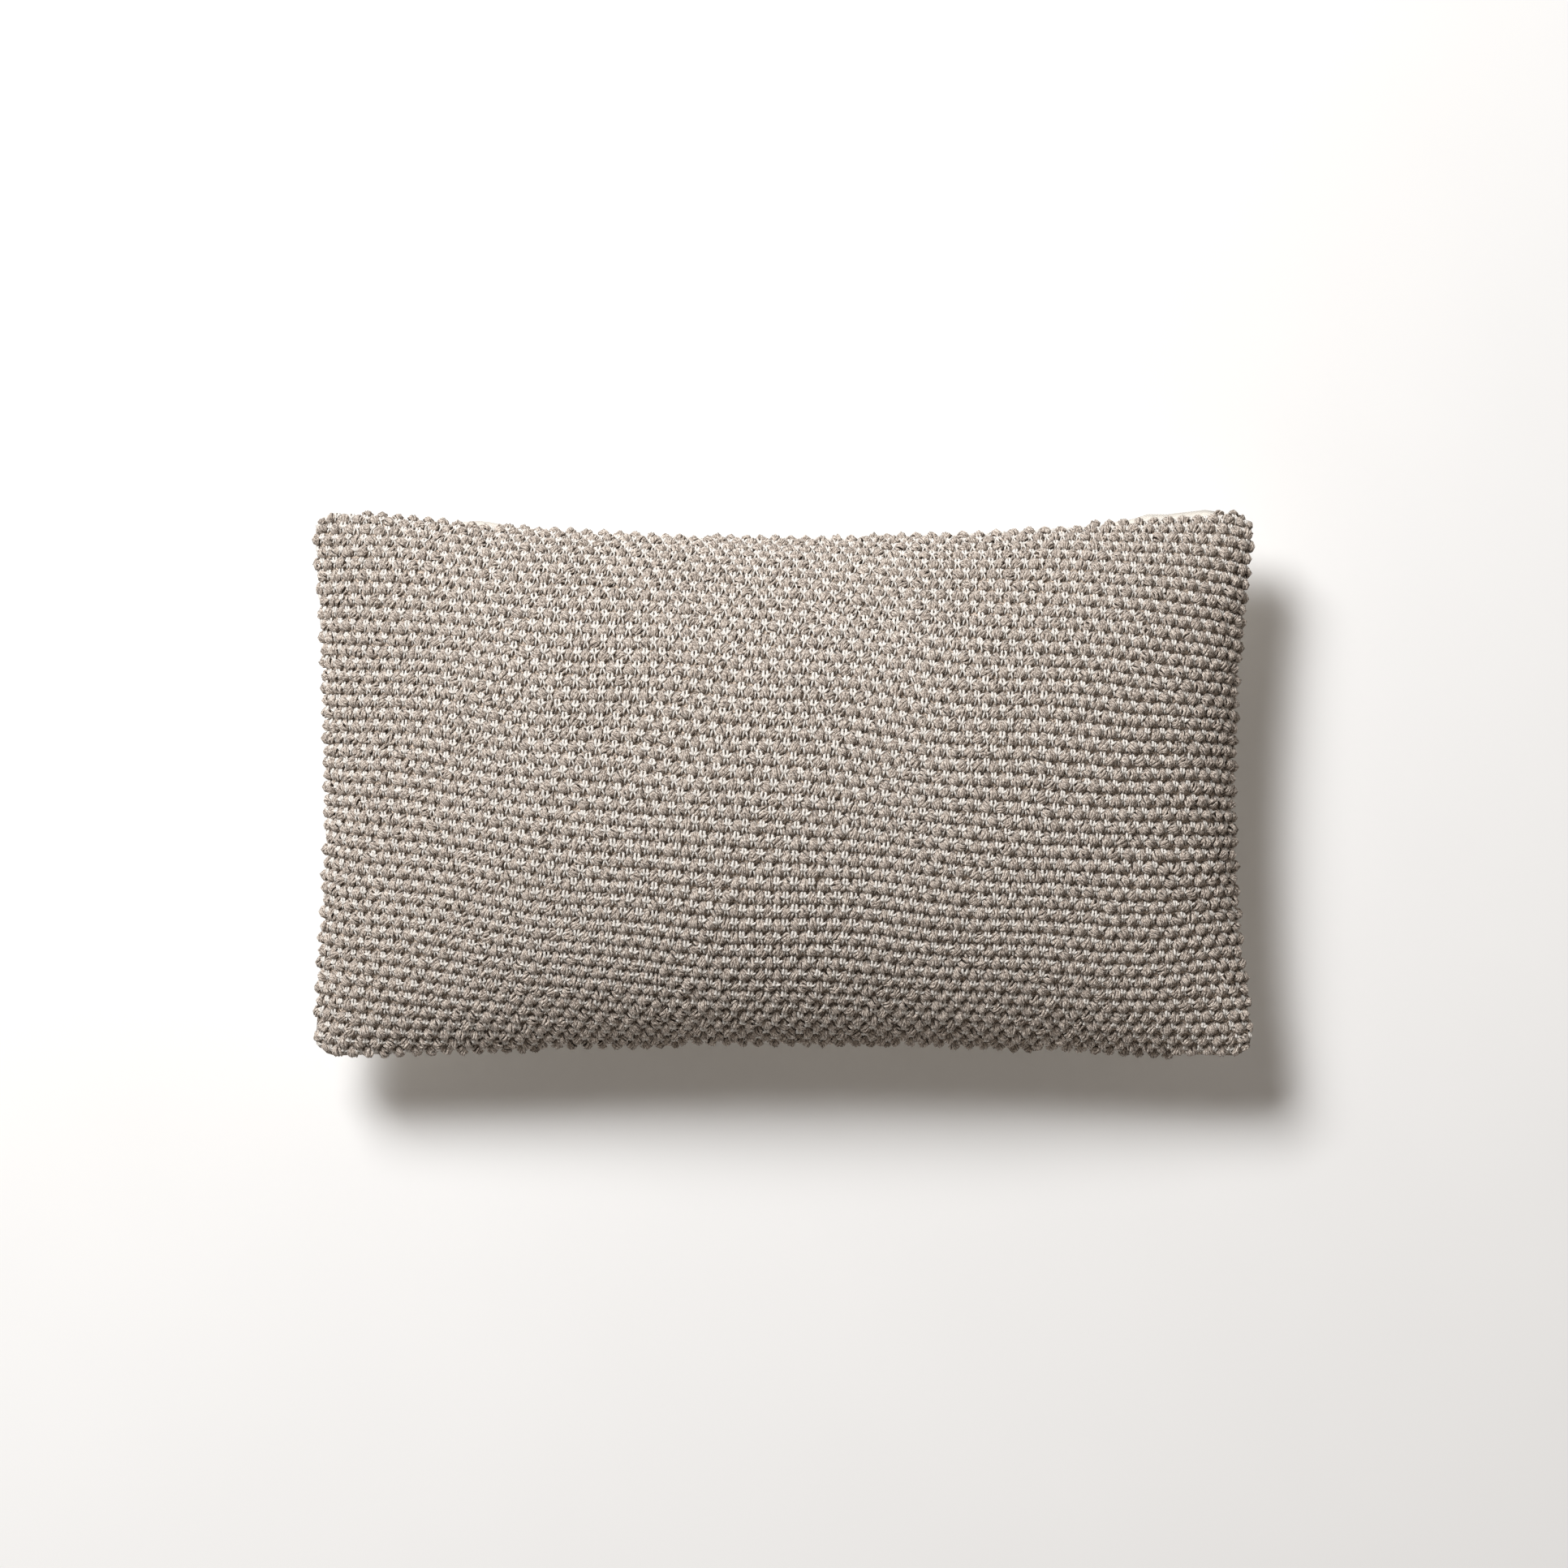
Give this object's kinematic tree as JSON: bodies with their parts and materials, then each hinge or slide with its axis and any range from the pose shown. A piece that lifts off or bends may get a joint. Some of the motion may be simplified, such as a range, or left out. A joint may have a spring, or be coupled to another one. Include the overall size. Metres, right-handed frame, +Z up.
{
  "type": "throw pillow",
  "caption": "Rectangular lumbar throw pillow: a bobbled two-tone knit front and a plain woven back round a soft insert, with a concealed zip in the bottom seam.",
  "frame": {"origin": "centre of the bounding box's bottom face, under the middle of the pillow as it lies on its back", "axes": "+X along the pillow's length, to the right as its knitted face is looked at; +Y towards its top edge; +Z up, out of the knitted face"},
  "size_m": [0.5616, 0.3245, 0.1445],
  "materials": {
    "knitted_yarn": "two-tone chunky knit, taupe marl bobbles on an off-white ground",
    "woven_cotton": "plain off-white cotton weave",
    "ticking": "fine white ticking",
    "polyester_fibre": "loose white fibre fill",
    "zip_tape": "herringbone woven zip tape, off-white",
    "zip_coil": "nylon monofilament coil",
    "zip_metal": "zinc casting, off-white enamel",
    "sewing_thread": "twisted polyester thread",
    "label_satin": "blank satin ribbon"
  },
  "bodies": {
    "pillow": {"front_panel": "knitted_yarn", "back_panel": "woven_cotton", "top_seam_thread": "sewing_thread", "left_seam_thread": "sewing_thread", "right_seam_thread": "sewing_thread", "bottom_left_seam_thread": "sewing_thread", "bottom_right_seam_thread": "sewing_thread", "overlocked_seam_edge": "sewing_thread", "care_label": "label_satin", "insert_front_ticking": "ticking", "insert_back_ticking": "ticking", "insert_seam_thread": "sewing_thread", "fibre_filling": "polyester_fibre", "front_zip_tape": "zip_tape", "back_zip_tape": "zip_tape", "front_zip_coil": "zip_coil", "back_zip_coil": "zip_coil", "front_zip_stitching": "sewing_thread", "back_zip_stitching": "sewing_thread", "front_zip_top_stop": "zip_metal", "back_zip_top_stop": "zip_metal", "zip_bottom_stop": "zip_metal"},
    "slider": {"zip_slider": "zip_metal"},
    "pull": {"zip_pull": "zip_metal"}
  },
  "joints": [
    {"name": "slider_run", "type": "hinge", "parent": "pillow", "child": "slider", "pos_m": [0, -3.50784, 0.06], "axis": [0, 0, 1], "range_deg": [0, 6.51]},
    {"name": "pull_swing", "type": "hinge", "parent": "slider", "child": "pull", "pos_m": [0.19051, -0.15651, 0.06], "axis": [0, 0, 1], "range_deg": [0, 150]}
  ]
}
